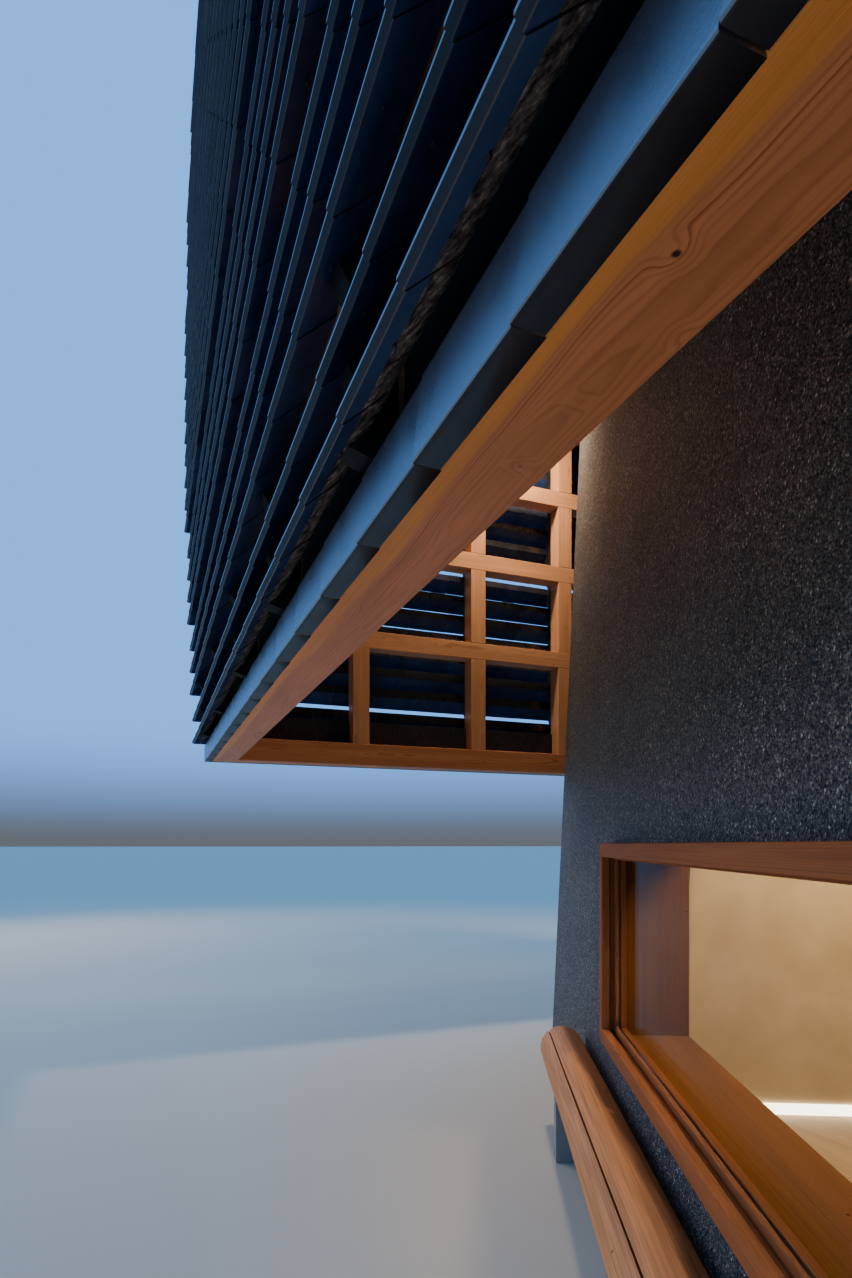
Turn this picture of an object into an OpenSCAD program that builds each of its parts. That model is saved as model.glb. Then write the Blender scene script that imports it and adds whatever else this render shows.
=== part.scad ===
// Machiya townhouse: a two-storey town house with a battered gravel-finish wall,
// wrapped above head height by a cedar lattice that carries louvre rows of clay tiles.
// X runs along the street front, Y runs inwards from the street, Z is up.
// The origin is the middle of the house at ground level. All sizes are millimetres.

/* [Plan] */
// Spacing of the lattice posts, half a traditional bay
module_l = 910; // [850:5:960]
// Number of post spacings along the street front
bays_front = 10; // [8:1:12]
// Number of post spacings from front to back
bays_side = 8; // [7:1:10]

/* [Eave beam and lattice] */
// Height of the eave beam's underside above ground
eave_z = 2010; // [1950:10:2200]
// Side of the square eave beam
beam_w = 150; // [130:5:180]
// Side of the square lattice posts and rails
post_w = 120; // [100:5:135]
// Height of the first rail's centre above ground
rail_first_z = 2900; // [2750:10:3000]
// Height of the second rail's centre above ground
rail_second_z = 3570; // [3450:10:3700]
// Spacing of the rails above the second one
rail_step = 590; // [540:10:620]
// Least distance from the last rail's centre up to the top plate
rail_top_gap = 200; // [160:10:300]
// Height of the board between the posts on the eave beam
sill_board_h = 170; // [120:5:200]
// Thickness of that board
sill_board_t = 24; // [18:1:40]
// Distance that the left lattice's fourth post stands nearer to the street
wall_post_shift = 157; // [0:1:250]
// Height of the top plate's underside above ground
plate_z = 7190; // [7150:10:7600]
// Height of the top plate and of the roof ties
plate_h = 150; // [120:5:200]

/* [Tile screen] */
// Height of the lowest tile's front arris above the eave beam's underside
row_lift = 138; // [136:1:155]
// Height from one tile row to the next, before the rows are spread evenly
row_pitch = 151; // [140:1:151]
// Distance from the topmost tiles up to the underside of the top plate
row_top_gap = 20.7; // [10:0.1:40]
// Extra height where a group of rows starts further out
group_gap = 30; // [0:1:32]
// Distance of the lowest tiles' front arrises from the posts' faces
nose_low = 154; // [145:1:160]
// Distance that each of the first groups starts further out
nose_step = 16; // [0:1:17]
// Distance of the topmost tiles' front arrises from the posts' faces
nose_top = 98; // [97:1:150]
// Horizontal depth of a tile
tile_depth = 95; // [85:1:96]
// Thickness of a tile
tile_t = 18; // [14:1:22]
// Height of the upstand at a tile's back
head_h = 30; // [20:1:34]
// Rise of a tile towards the house, in degrees
tile_slope = 42; // [38:1:43]
// Thickness of the notched rib boards that carry the tiles
rib_t = 60; // [36:1:75]
// Length of a tile's underside that rests on a rib's tooth
rib_tooth = 40; // [20:1:45]

/* [Fascia] */
// Distance of the fascia's face from the post centres
fascia_out = 134; // [110:1:150]
// Height of the fascia tiles
fascia_h = 106; // [80:1:110]
// Thickness of the fascia tiles
fascia_t = 18; // [12:1:24]

/* [Walls] */
// Distance from the left or right wall's foot to the post centres
wall_set_x = 20; // [0:1:80]
// Distance from the front or rear wall's foot to the post centres
wall_set_y = 23; // [0:1:80]
// Thickness of the walls
wall_t = 350; // [250:5:400]
// Inward lean of the walls' faces for each millimetre of height
batter = 0.046; // [0.036:0.001:0.05]
// Radius of the walls' corners at the ground
corner_r = 580; // [480:10:700]
// Turn of the skew wall away from the street front, in degrees
skew_angle = 25.4; // [22:0.1:27]

/* [Window] */
// Distance from the skew wall's left end to the window
window_s = 2388; // [2250:1:2450]
// Width of the window's opening
window_w = 2600; // [2200:10:2650]
// Distance from the window to the corner between the skew wall and the front wall
window_end = 640; // [600:5:700]
// Height of the window's underside above ground
window_z = 568; // [540:1:800]
// Height of the window's opening
window_h = 888; // [700:1:1000]
// Distance that the frame's face stands behind the line of the wall's foot
frame_in = 6; // [0:1:20]
// Depth of the window frame
frame_d = 111; // [100:1:140]
// Width of the frame's bars
frame_bar = 60; // [45:1:80]
// Distance from the frame's face to the bead that holds the glass
bead_in = 57; // [40:1:65]
// Width of that bead beside the bars
bead_w = 12; // [8:1:20]
// Thickness of the boards that line the opening
lining_board = 30; // [18:1:40]
// Distance from the wall's foot line to the inner edge of those boards
lining_reach = 400; // [395:1:450]
// Thickness of the glass
glass_t = 12; // [6:1:24]
// Distance from the bead's face to the glass
glass_in = 17; // [8:1:24]
// Depth of the glass in its groove
groove_d = 10; // [6:1:16]

/* [Door] */
// Distance from the house's middle line to the door's centre, towards the back
door_y = 1000; // [600:10:2000]
// Width of the door's opening
door_w = 960; // [800:10:1100]
// Distance from the eave beam down to the door's opening
door_head_gap = 20; // [10:1:60]
// Width of the door frame's bars
door_bar = 50; // [40:1:70]
// Depth of the door frame
door_frame_d = 160; // [120:1:200]
// Thickness of the door leaf
door_t = 45; // [36:1:60]
// Distance from the frame's face to the door leaf
door_in = 60; // [20:1:70]
// Gap around the door leaf
door_gap = 0.3; // [0.2:0.1:0.9]

/* [Floors and rooms] */
// Thickness of the foundation slab
slab_t = 170; // [120:5:180]
// Thickness of the ground floor's boards
floor_t = 30; // [18:1:40]
// Height of the ceiling above ground
ceiling_z = 2510; // [2400:10:2650]
// Height of the floor joists
joist_h = 240; // [180:5:300]
// Width of the floor joists
joist_w = 120; // [90:5:150]
// Thickness of the upper floor
deck_t = 40; // [24:1:60]
// Thickness of the plaster on the inside of the walls
plaster_t = 20; // [12:1:30]
// Distance from the window to the inner wall beside it
inner_wall_set = 140; // [50:5:200]
// Thickness of the inner wall
inner_wall_t = 120; // [90:5:150]
// Length of the inner wall from the outer wall's foot line
inner_wall_l = 2200; // [1400:10:2600]

/* [Log bench] */
// Distance from the log to the corner between the skew wall and the front wall
log_end = 28; // [0:1:200]
// Length of the log
log_l = 3750; // [3400:10:3900]
// Radius of the log's thick end
log_r = 122; // [100:1:126]
// Radius of the log's thin end
log_r_thin = 114; // [95:1:120]
// Height of the log's axis above ground
log_z = 385; // [340:5:420]
// Gap between the log and the line of the wall behind it
log_gap = 0; // [0:1:30]
// Width of the log's long relief cut
kerf_w = 7; // [3:1:12]
// Depth of the log's long relief cut
kerf_d = 55; // [30:1:70]
// Thickness of each log support
support_t = 90; // [60:5:140]
// Width of each log support across the log
support_w = 170; // [120:5:190]

/* [Roof] */
// Distance that the eaves reach past the post centres
roof_out = 270; // [262:1:450]
// Height of the eaves' edge
roof_edge = 90; // [60:5:140]
// Width of the roof's flat seat on the top plate
roof_seat = 340; // [335:1:600]
// Rise of the roof for each millimetre inwards
roof_rise = 0.3; // [0.2:0.01:0.45]
// Width of the ridge and hip caps
cap_w = 220; // [150:5:280]
// Height of the ridge cap
cap_h = 190; // [120:5:260]

/* [Hidden] */
front_l = module_l * bays_front;
side_l = module_l * bays_side;
fit = 0.3;
past = 1;
far = 20000;
curve = 64;

// Names of the four sides: 0 front, 1 right, 2 rear, 3 left
function run_l(side) = side % 2 == 0 ? front_l : side_l;
function run_out(side) = side % 2 == 0 ? side_l / 2 : front_l / 2;
function run_bays(side) = side % 2 == 0 ? bays_front : bays_side;

// Places of the posts along a side, counted from its left end as seen from outside
function post_shift(side, k) = side == 3 && k == bays_side - 3 ? wall_post_shift : 0;
function post_x(side, k) = -run_l(side) / 2 + k * module_l + post_shift(side, k);

// Heights
beam_top = eave_z + beam_w;
plate_top = plate_z + plate_h;
floor_z = slab_t + floor_t;
door_h = eave_z - door_head_gap - floor_z;
deck_z = ceiling_z + joist_h;
rail_count = 2 + floor((plate_z - rail_top_gap - rail_second_z) / rail_step);
function rail_z(k) = k == 0 ? rail_first_z : rail_second_z + (k - 1) * rail_step;

// One tile in section: outward distance and height from its front arris. A square-cut
// blade rises inwards and ends in an upstand.
slope = tan(tile_slope);
cut_in = tile_t * sin(tile_slope);
cut_down = tile_t * cos(tile_slope);
head_in = tile_depth - tile_t;
head_top = head_in * slope + head_h;
back_z = (tile_depth - cut_in) * slope - cut_down;
tile_section = [
    [0, 0],
    [-head_in, head_in * slope],
    [-head_in, head_top],
    [-tile_depth, head_top],
    [-tile_depth, back_z],
    [-cut_in, -cut_down]
];

// Tile rows stand in groups. The first groups each start further out than the one
// below, the fourth is the widest and takes the rows that the height leaves over, and
// those above lean back along a curve. The rows are spread evenly up to the top plate.
low_groups = [2, 3, 4];
high_groups = [5, 4, 3, 2];
widest = len(low_groups);
last_group = widest + len(high_groups);
row_first_z = eave_z + row_lift;
row_rise = plate_z - row_top_gap - head_top - widest * group_gap - row_first_z;
row_count = round(row_rise / row_pitch) + 1;
row_step = row_rise / (row_count - 1);
function total(list, k = 0) = k < len(list) ? list[k] + total(list, k + 1) : 0;
wide_rows = row_count - total(low_groups) - total(high_groups);
group_rows = concat(low_groups, [wide_rows], high_groups);
nose_first = post_w / 2 + nose_low;
nose_wide = nose_first + widest * nose_step;
lean_back = nose_wide - post_w / 2 - nose_top;
function row_group(i, g = 0) = i < group_rows[g] ? g : row_group(i - group_rows[g], g + 1);
function lean(g) = lean_back * pow((g - widest) / (last_group - widest), 1.5);
function nose(g) = g <= widest ? nose_first + g * nose_step : nose_wide - lean(g);
function row_nose(i) = nose(row_group(i));
function row_z(i) = row_first_z + i * row_step + min(row_group(i), widest) * group_gap;

// The rib's edge follows each tile: up its back edge, out along its underside as a
// tooth, and back in to the tile below
function rib_seat(i) = [row_nose(i) - tile_depth, row_z(i) + back_z];
function rib_foot(i) = [row_nose(i) - tile_depth, row_z(i) + head_top];
function rib_tip(i) = rib_seat(i) + [rib_tooth, -rib_tooth * slope];
rib_edge = [for (i = [0 : row_count - 1]) each [rib_tip(i), rib_seat(i), rib_foot(i)]];
rib_section = concat(
    [[post_w / 2, row_z(row_count - 1) + head_top], [post_w / 2, beam_top + fit]],
    [[rib_tip(0)[0] - rib_tooth, beam_top + fit]],
    rib_edge
);

// Plan of the walls' outer faces at the ground, moved inwards by d. The faces are, in
// turn, the left one, the skew one with the window, the front, the right and the rear.
wall_x = front_l / 2 - wall_set_x;
wall_y = side_l / 2 - wall_set_y;
skew_normal = [sin(skew_angle), cos(skew_angle)];
skew_l = window_s + window_w + window_end;
skew_foot = [-wall_x, skew_l * sin(skew_angle) - wall_y];
face_normal = [[1, 0], skew_normal, [0, 1], [-1, 0], [0, -1]];
face_at = [-wall_x, skew_normal * skew_foot, -wall_y, -wall_x, -wall_y];
function cross2(a, b) = a[0] * b[1] - a[1] * b[0];
function meet(n, c, m, e) = [c * m[1] - e * n[1], n[0] * e - m[0] * c] / cross2(n, m);
function plan(d) = [
    for (k = [0 : 4])
        let (j = (k + 1) % 5)
        meet(face_normal[k], face_at[k] + d, face_normal[j], face_at[j] + d)
];
plan_middle = [300, 300];

// Window and bench places in the skew wall's own frame: X along the wall to the right,
// Y inwards from the wall's foot
bead_y = frame_in + bead_in;
glass_y = bead_y + glass_in;
glass_edge = frame_bar + bead_w;
log_s = skew_l - log_end - log_l;
log_y = batter * log_z - log_gap - log_r;

// Roof
roof_x = front_l / 2 + roof_out;
roof_y = side_l / 2 + roof_out;
ridge_x = roof_x - roof_y;
ridge_z = plate_top + roof_edge + roof_y * roof_rise;

cedar = "#a8622f";
cedar_dark = "#7c4424";
clay = "#33363c";
gravel = "#5a544d";
plaster = "#b09a74";

// Frames of reference
module on_side(side) {
    rotate([0, 0, 90 * side])
        translate([0, -run_out(side), 0])
            children();
}

module on_skew_wall() {
    translate([skew_foot[0], skew_foot[1], 0])
        rotate([0, 0, -skew_angle])
            children();
}

module on_left_wall() {
    translate([-wall_x, door_y, 0])
        rotate([0, 0, -90])
            children();
}

// A section of outward distance and height, drawn out along a side
module along_side(side, points, l) {
    translate([-l / 2, 0, 0])
        rotate([90, 0, 90])
            linear_extrude(l)
                polygon([for (p = points) [-p[0], p[1]]]);
}

// Keeps what lies between the mitres at a side's two ends
module mitred(side, gap = 0) {
    l = run_l(side) / 2 - gap;
    reach = 1000;
    intersection() {
        children();
        linear_extrude(plate_top + far)
            polygon([
                [-l - reach, -reach],
                [l + reach, -reach],
                [l - reach, reach],
                [-l + reach, reach]
            ]);
    }
}

// Eave beams, mitred at the corners
module eave_beam(side) {
    l = run_l(side) / 2;
    h = beam_w / 2;
    color(cedar)
        on_side(side)
            translate([0, 0, eave_z])
                linear_extrude(beam_w)
                    polygon([[-l - h, -h], [l + h, -h], [l - h, h], [-l + h, h]]);
}

// Lattice of posts and halved rails, with a board on the eave beam between the posts.
// The front and rear ones have the corner posts.
module lattice(side) {
    whole = side % 2 == 0;
    first = whole ? 0 : 1;
    last = run_bays(side) - first;
    rail_l = run_l(side) - post_w;
    color(cedar)
        on_side(side) {
            translate([0, post_w / 2, 0])
                rotate([90, 0, 0])
                    linear_extrude(post_w) {
                        for (k = [first : last])
                            translate([post_x(side, k) - post_w / 2, beam_top])
                                square([post_w, plate_z - beam_top]);
                        for (k = [0 : rail_count - 1])
                            translate([-rail_l / 2, rail_z(k) - post_w / 2])
                                square([rail_l, post_w]);
                    }
            translate([-rail_l / 2, -post_w / 2, beam_top])
                cube([rail_l, sill_board_t, sill_board_h]);
        }
}

// Notched rib boards on the outer faces of the posts
module tile_ribs(side) {
    color(clay)
        on_side(side)
            for (k = [0 : run_bays(side)])
                translate([post_x(side, k), 0, 0])
                    along_side(side, rib_section, rib_t);
}

// Louvre rows of clay tiles, mitred at the corners
module tile_rows(side) {
    color(clay)
        on_side(side)
            mitred(side)
                for (i = [0 : row_count - 1])
                    along_side(
                        side,
                        [for (p = tile_section) p + [row_nose(i), row_z(i)]],
                        run_l(side) + 2 * nose_wide
                    );
}

// L-shaped fascia tiles on the eave beam
module fascia(side) {
    top = eave_z + fascia_h;
    back = beam_w / 2;
    section = [
        [back, eave_z],
        [fascia_out, eave_z],
        [fascia_out, top],
        [fascia_out - fascia_t, top],
        [fascia_out - fascia_t, eave_z + fascia_t],
        [back, eave_z + fascia_t]
    ];
    color(clay)
        on_side(side)
            mitred(side)
                along_side(side, section, run_l(side) + 2 * fascia_out);
}

// Outer form of the walls: battered faces and round corners
module wall_outside() {
    hull()
        for (p = plan(corner_r))
            translate([p[0], p[1], 0])
                cylinder(r1 = corner_r, r2 = corner_r - batter * plate_z, h = plate_z, $fn = curve);
}

// Space inside the walls between two heights, in from the outer faces by d
module wall_inside(d, low, high) {
    n = 5;
    bottom = [for (p = plan(d + batter * low)) [p[0], p[1], low]];
    top = [for (p = plan(d + batter * high)) [p[0], p[1], high]];
    polyhedron(
        concat(bottom, top),
        concat(
            [[for (k = [0 : n - 1]) k]],
            [[for (k = [0 : n - 1]) 2 * n - 1 - k]],
            [for (k = [0 : n - 1]) [k, n + k, n + (k + 1) % n, (k + 1) % n]]
        )
    );
}

// Wall number k of the plan, cut from its neighbours at the corners
module wall(k) {
    corners = plan(0);
    reach = 3;
    intersection() {
        difference() {
            wall_outside();
            wall_inside(wall_t, -past, plate_z + past);
        }
        linear_extrude(plate_z)
            polygon([
                plan_middle,
                plan_middle + reach * (corners[(k + 4) % 5] - plan_middle),
                plan_middle + reach * (corners[k] - plan_middle)
            ]);
    }
}

module window_hole() {
    on_skew_wall()
        translate([window_s, -wall_t, window_z])
            cube([window_w, 3 * wall_t, window_h]);
}

module door_hole() {
    on_left_wall()
        translate([-door_w / 2, -wall_t, floor_z])
            cube([door_w, 3 * wall_t, door_h]);
}

module wall_skew_front() {
    color(gravel)
        difference() {
            wall(1);
            window_hole();
        }
}

module wall_front() {
    color(gravel)
        wall(2);
}

module wall_right() {
    color(gravel)
        wall(3);
}

module wall_rear() {
    color(gravel)
        wall(4);
}

module wall_left() {
    color(gravel)
        difference() {
            wall(0);
            door_hole();
        }
}

// Plaster on the inside of the ground storey's walls
module wall_plaster() {
    color(plaster)
        difference() {
            wall_inside(wall_t, floor_z, ceiling_z);
            wall_inside(wall_t + plaster_t, floor_z - past, ceiling_z + past);
            window_hole();
            door_hole();
        }
}

// Inner wall that shows through the window
module inner_wall() {
    color(plaster)
        intersection() {
            wall_inside(wall_t + plaster_t, floor_z, ceiling_z);
            on_skew_wall()
                translate([window_s - inner_wall_set - inner_wall_t, 0, floor_z])
                    cube([inner_wall_t, inner_wall_l, ceiling_z - floor_z]);
        }
}

module foundation_slab() {
    color("#8b8780")
        wall_inside(wall_t, 0, slab_t);
}

module ground_floor() {
    color("#b79a72")
        wall_inside(wall_t, slab_t, floor_z);
}

module upper_joists() {
    color(cedar_dark)
        intersection() {
            wall_inside(wall_t, ceiling_z, deck_z);
            for (k = [1 : bays_front - 1])
                translate([-front_l / 2 + k * module_l - joist_w / 2, -side_l / 2, ceiling_z])
                    cube([joist_w, side_l, joist_h]);
        }
}

module upper_floor() {
    color(cedar_dark)
        wall_inside(wall_t, deck_z, deck_z + deck_t);
}

// A block round the window's middle that leaves bars of width edge on all four sides
module window_block(edge, near, far_y) {
    translate([window_s + edge, near, window_z + edge])
        cube([window_w - 2 * edge, far_y - near, window_h - 2 * edge]);
}

// Window frame: bars, and behind them a bead with a groove for the glass
module window_frame() {
    back = frame_in + frame_d;
    color(cedar_dark)
        on_skew_wall()
            difference() {
                window_block(0, frame_in, back);
                window_block(frame_bar, frame_in - past, bead_y);
                window_block(glass_edge, frame_in, back + past);
                window_block(glass_edge - groove_d, glass_y - fit, glass_y + glass_t + fit);
            }
}

// Boards that line the window's opening inside the frame
module window_lining() {
    back = frame_in + frame_d;
    color(cedar_dark)
        on_skew_wall()
            difference() {
                window_block(0, back, lining_reach);
                window_block(lining_board, back - past, lining_reach + past);
            }
}

module window_glass() {
    color("#9fb7bd", 0.35)
        on_skew_wall()
            window_block(glass_edge - groove_d + fit, glass_y, glass_y + glass_t);
}

module door_frame() {
    color(cedar_dark)
        on_left_wall()
            difference() {
                translate([-door_w / 2, frame_in, floor_z])
                    cube([door_w, door_frame_d, door_h]);
                translate([-door_w / 2 + door_bar, frame_in - past, floor_z + door_bar])
                    cube([door_w - 2 * door_bar, door_frame_d + 2 * past, door_h - 2 * door_bar]);
            }
}

module entrance_door() {
    color(cedar)
        on_left_wall()
            translate([-door_w / 2 + door_bar + door_gap, frame_in + door_in, floor_z + door_bar + door_gap])
                cube([
                    door_w - 2 * (door_bar + door_gap),
                    door_t,
                    door_h - 2 * (door_bar + door_gap)
                ]);
}

// Debarked log with a long relief cut on its upper street side
module log_body(extra = 0) {
    translate([log_s, log_y, log_z])
        rotate([0, 90, 0])
            cylinder(r1 = log_r_thin + extra, r2 = log_r + extra, h = log_l, $fn = curve);
}

module log_bench() {
    kerf_turn = 38;
    color("#8a5a38")
        on_skew_wall()
            difference() {
                log_body();
                translate([log_s - past, log_y, log_z])
                    rotate([kerf_turn, 0, 0])
                        translate([0, -kerf_w / 2, log_r - kerf_d])
                            cube([log_l + 2 * past, kerf_w, kerf_d + log_r]);
            }
}

module bench_supports() {
    inset = 450;
    count = 3;
    step = (log_l - 2 * inset - support_t) / (count - 1);
    color("#57524b")
        on_skew_wall()
            difference() {
                for (k = [0 : count - 1])
                    translate([log_s + inset + k * step, log_y - support_w / 2, 0])
                        cube([support_t, support_w, log_z - log_r / 2]);
                log_body(fit);
            }
}

// Plates on top of the lattices
module top_plates() {
    h = post_w / 2;
    color(cedar)
        for (side = [0 : 3])
            on_side(side)
                mitred(side, fit)
                    translate([-run_l(side) / 2 - h, -h, plate_z])
                        cube([run_l(side) + post_w, post_w, plate_h]);
}

// Ties across the walls' tops that carry the plates and the roof
module roof_ties() {
    w = post_w / 2;
    end_x = front_l / 2 - w;
    end_y = side_l / 2 - w;
    tie_x = front_l / 2 - module_l;
    color(cedar_dark)
        translate([0, 0, plate_z])
            linear_extrude(plate_h) {
                for (k = [1 : bays_front - 1])
                    translate([-front_l / 2 + k * module_l - w, -end_y])
                        square([post_w, 2 * end_y]);
                for (k = [1 : bays_side - 1], turn = [-1, 1])
                    translate([turn * (tie_x + end_x) / 2, -side_l / 2 + k * module_l])
                        square([end_x - tie_x, post_w], center = true);
            }
}

// A hipped form on a rectangle, with an upright edge below its slopes
module hip_form(x, y, low, edge) {
    eave = low + edge;
    top = eave + y * roof_rise;
    polyhedron(
        [
            [-x, -y, low], [x, -y, low], [x, y, low], [-x, y, low],
            [-x, -y, eave], [x, -y, eave], [x, y, eave], [-x, y, eave],
            [-x + y, 0, top], [x - y, 0, top]
        ],
        [
            [0, 1, 2, 3],
            [0, 4, 5, 1], [1, 5, 6, 2], [2, 6, 7, 3], [3, 7, 4, 0],
            [4, 8, 9, 5], [5, 9, 6], [6, 9, 8, 7], [7, 8, 4]
        ]
    );
}

// One slope of the roof, cut from its neighbours at the hips
module roof_slope(side) {
    half = [[-roof_x, -roof_y], [roof_x, -roof_y], [roof_x, roof_y], [-roof_x, roof_y]];
    left_end = [-ridge_x, 0];
    right_end = [ridge_x, 0];
    outlines = [
        [half[0], half[1], right_end, left_end],
        [half[1], half[2], right_end],
        [half[2], half[3], left_end, right_end],
        [half[3], half[0], left_end]
    ];
    color(clay)
        intersection() {
            difference() {
                hip_form(roof_x, roof_y, plate_top, roof_edge);
                hip_form(roof_x - roof_seat, roof_y - roof_seat, plate_top - past, past);
            }
            linear_extrude(far)
                polygon(outlines[side]);
        }
}

// A cap along a line that rises from a to b
module cap(a, b, h) {
    d = b - a;
    w = cap_w / 2;
    translate(a)
        rotate([0, -atan2(d[2], norm([d[0], d[1]])), atan2(d[1], d[0])])
            rotate([90, 0, 90])
                linear_extrude(norm(d))
                    polygon([[-w, -h / 2], [w, -h / 2], [w, h * 0.6], [w / 2, h], [-w / 2, h], [-w, h * 0.6]]);
}

module roof_ridge() {
    hip_h = cap_h * 0.7;
    hip_drop = 120;
    color(clay)
        difference() {
            union() {
                cap([-ridge_x - cap_w / 2, 0, ridge_z], [ridge_x + cap_w / 2, 0, ridge_z], cap_h);
                for (sx = [-1, 1], sy = [-1, 1])
                    cap(
                        [sx * (roof_x - hip_drop), sy * (roof_y - hip_drop),
                            plate_top + roof_edge + hip_drop * roof_rise],
                        [sx * ridge_x, 0, ridge_z],
                        hip_h
                    );
            }
            hip_form(roof_x, roof_y, plate_top, roof_edge);
        }
}

module eave_beam_front() { eave_beam(0); }
module eave_beam_right() { eave_beam(1); }
module eave_beam_rear() { eave_beam(2); }
module eave_beam_left() { eave_beam(3); }
module lattice_front() { lattice(0); }
module lattice_right() { lattice(1); }
module lattice_rear() { lattice(2); }
module lattice_left() { lattice(3); }
module tile_ribs_front() { tile_ribs(0); }
module tile_ribs_right() { tile_ribs(1); }
module tile_ribs_rear() { tile_ribs(2); }
module tile_ribs_left() { tile_ribs(3); }
module tile_rows_front() { tile_rows(0); }
module tile_rows_right() { tile_rows(1); }
module tile_rows_rear() { tile_rows(2); }
module tile_rows_left() { tile_rows(3); }
module fascia_front() { fascia(0); }
module fascia_right() { fascia(1); }
module fascia_rear() { fascia(2); }
module fascia_left() { fascia(3); }
module roof_front() { roof_slope(0); }
module roof_right() { roof_slope(1); }
module roof_rear() { roof_slope(2); }
module roof_left() { roof_slope(3); }

foundation_slab();
ground_floor();
wall_skew_front();
wall_front();
wall_right();
wall_rear();
wall_left();
wall_plaster();
inner_wall();
upper_joists();
upper_floor();
window_frame();
window_lining();
window_glass();
door_frame();
entrance_door();
log_bench();
bench_supports();
eave_beam_front();
eave_beam_right();
eave_beam_rear();
eave_beam_left();
lattice_front();
lattice_right();
lattice_rear();
lattice_left();
tile_ribs_front();
tile_ribs_right();
tile_ribs_rear();
tile_ribs_left();
tile_rows_front();
tile_rows_right();
tile_rows_rear();
tile_rows_left();
fascia_front();
fascia_right();
fascia_rear();
fascia_left();
top_plates();
roof_ties();
roof_front();
roof_right();
roof_rear();
roof_left();
roof_ridge();
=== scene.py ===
import math
import random

import bmesh
import bpy
from mathutils import Matrix, Vector, noise


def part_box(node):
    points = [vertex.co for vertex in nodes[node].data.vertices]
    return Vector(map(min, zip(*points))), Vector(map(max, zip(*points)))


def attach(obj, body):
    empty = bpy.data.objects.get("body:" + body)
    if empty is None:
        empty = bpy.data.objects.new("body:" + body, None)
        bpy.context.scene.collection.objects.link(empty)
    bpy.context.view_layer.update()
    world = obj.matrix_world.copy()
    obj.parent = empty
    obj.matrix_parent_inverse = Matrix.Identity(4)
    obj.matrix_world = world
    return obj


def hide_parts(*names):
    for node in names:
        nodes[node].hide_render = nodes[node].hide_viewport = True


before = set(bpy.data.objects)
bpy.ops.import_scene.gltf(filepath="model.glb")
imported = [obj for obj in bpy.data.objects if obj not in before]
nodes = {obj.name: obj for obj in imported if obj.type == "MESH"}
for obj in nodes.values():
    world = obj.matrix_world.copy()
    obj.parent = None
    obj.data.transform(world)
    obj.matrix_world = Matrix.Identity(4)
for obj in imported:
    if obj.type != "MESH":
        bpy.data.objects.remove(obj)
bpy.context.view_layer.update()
scene = bpy.context.scene
chance = random.Random(7)

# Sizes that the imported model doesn't state, in metres. First the louvre tiles: their joint and
# lap, their blade, their upstand (taller on the lowest rows) and where bare clay starts
HALF_BAY = 0.910
TILE_LENGTH = HALF_BAY / 3
TILE_JOINT = 0.0012
TILE_LAP = 0.0030
TILE_THICK = 0.018
TILE_DEPTH = 0.095
TILE_SLOPE = math.radians(42)
TILE_HEAD = 0.036
LOW_TILE_HEAD = 0.055
LOW_ROWS = 5
NOSE_ROUND = 0.0038
UNDER_ROUND = 0.002
BARE_FROM = 0.047
SCREW_BACK = 0.006
# Timbers and fascia tiles: what stands out and in from the post line, and eased arrises
SILL_BOARD = (0.024, 0.170)
BEAM_OUT = 0.088
BEAM_IN = 0.068
BEAM_PITH = (0.020, 0.085)
FASCIA_SLANT = 0.045
FASCIA_JOINT = 0.0040
FASCIA_ROUND = 0.004
EASED = 0.0025
EASED_MORE = 0.003
WALL_POST_SHIFT = 0.157
# The wall with the window: how much it leans per metre, its turn and where its foot starts
BATTER = 0.046
SKEW_ANGLE = math.radians(25.4)
SKEW_FOOT = Vector((-4.530, -1.2029, 0))
FLOOR_Z = 0.200
# The roof, its courses of pantiles, and the flat tiles and caps of its ridge and hips
ROOF_OUT = 0.270
ROOF_EDGE = 0.090
ROOF_RISE = 0.30
COURSES = 17
COURSE_TILT = 0.045
PANTILE = 0.265
PANTILE_THICK = 0.012
PANTILE_LAP = 0.035
CAP_LENGTH = 0.300
CAP_RADIUS = 0.078
FLAT_TILE = 0.027
FLAT_STEP = 0.034
HIP_START = 0.12

# What the nodes say about the timbers
beam_low, beam_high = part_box("eave_beam_front")
BEAM = beam_high.z - beam_low.z
FRONT_RUN = beam_high.x - beam_low.x - BEAM
side_low, side_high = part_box("eave_beam_left")
SIDE_RUN = side_high.y - side_low.y - BEAM
EAVE_Z = beam_low.z
PLATE_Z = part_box("top_plates")[0].z
PLATE_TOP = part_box("top_plates")[1].z
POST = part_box("lattice_left")[1].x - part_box("lattice_left")[0].x
RAIL_HEIGHTS = [2.900] + [3.570 + 0.590 * k for k in range(6)]
SIDES = ["front", "right", "rear", "left"]


def run_of(side):
    """The length of a side between the lines of its corner posts."""
    return FRONT_RUN if side % 2 == 0 else SIDE_RUN


def side_place(side):
    """The frame of one side: X along it, -Y outwards, from the middle of its post line."""
    out = (SIDE_RUN if side % 2 == 0 else FRONT_RUN) / 2
    return Matrix.Rotation(math.pi / 2 * side, 4, "Z") @ Matrix.Translation((0, -out, 0))


def skew_place():
    """The frame of the wall with the window: X along its foot, Y inwards."""
    return Matrix.Translation(SKEW_FOOT) @ Matrix.Rotation(-SKEW_ANGLE, 4, "Z")


def post_places(side):
    """Distances of the posts from the middle of a side."""
    count = round(run_of(side) / HALF_BAY)
    places = [-run_of(side) / 2 + k * HALF_BAY for k in range(count + 1)]
    # On the left side the third post from the front corner stands a little nearer to it
    if side == 3:
        places[count - 3] += WALL_POST_SHIFT
    return places


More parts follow.
